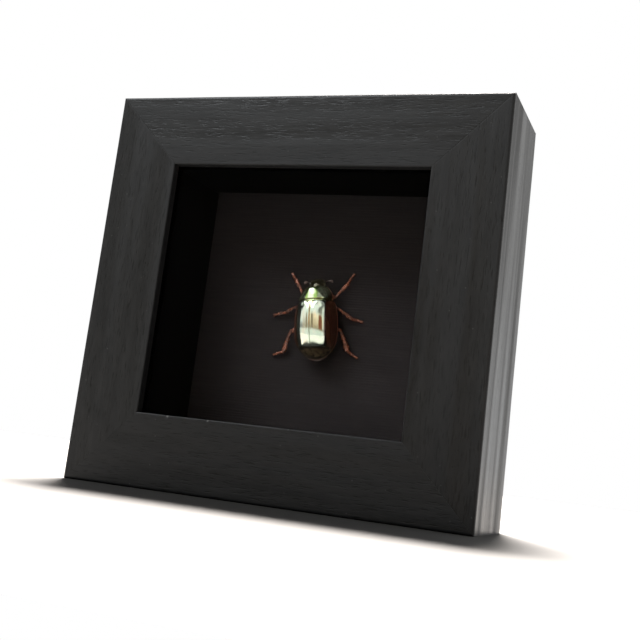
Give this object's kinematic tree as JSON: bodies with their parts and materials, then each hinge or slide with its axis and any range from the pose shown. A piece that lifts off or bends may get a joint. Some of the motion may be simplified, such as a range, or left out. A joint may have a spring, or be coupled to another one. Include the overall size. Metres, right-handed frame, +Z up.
{
  "type": "framed jewel beetle",
  "caption": "Deep black wooden box frame with a glass pane and dark paper, holding one metallic scarab beetle with spread legs; stands or hangs.",
  "frame": {"origin": "on the standing surface, under the middle of the frame", "axes": "+X to the viewer's right along the frame's width, +Y from the front to the back, +Z up"},
  "size_m": [0.127, 0.035, 0.1215],
  "materials": {
    "black_wood": "satin black paint over open grain",
    "clear_glass": "clear float glass",
    "black_strip": "matte black",
    "dark_paper": "fine ribbed paper, matte",
    "brown_board": "plain hardboard",
    "zinc_steel": "bright zinc",
    "silver_wing_case": "mirror-like silver chitin",
    "green_metal": "metallic green chitin",
    "bronze_head": "dark bronze chitin",
    "copper_leg": "copper-brown glossy chitin",
    "brown_belly": "dark brown glossy chitin",
    "clear_glue": "dried glue"
  },
  "bodies": {
    "root": {"frame_rail_top": "black_wood", "frame_rail_bottom": "black_wood", "frame_rail_left": "black_wood", "frame_rail_right": "black_wood", "glass_pane": "clear_glass", "spacer_top": "black_strip", "spacer_bottom": "black_strip", "spacer_left": "black_strip", "spacer_right": "black_strip", "backing_paper": "dark_paper", "backing_board": "brown_board", "board_point_top": "zinc_steel", "board_point_bottom": "zinc_steel", "board_point_left": "zinc_steel", "board_point_right": "zinc_steel", "sawtooth_hanger": "zinc_steel", "underbody": "brown_belly", "head": "bronze_head", "pronotum": "green_metal", "scutellum": "green_metal", "elytron_left": "silver_wing_case", "elytron_right": "silver_wing_case", "leg_front_left": "copper_leg", "leg_front_right": "copper_leg", "leg_middle_left": "copper_leg", "leg_middle_right": "copper_leg", "leg_hind_left": "copper_leg", "leg_hind_right": "copper_leg", "antenna_left": "copper_leg", "antenna_right": "copper_leg", "glue_dab": "clear_glue"}
  },
  "joints": []
}
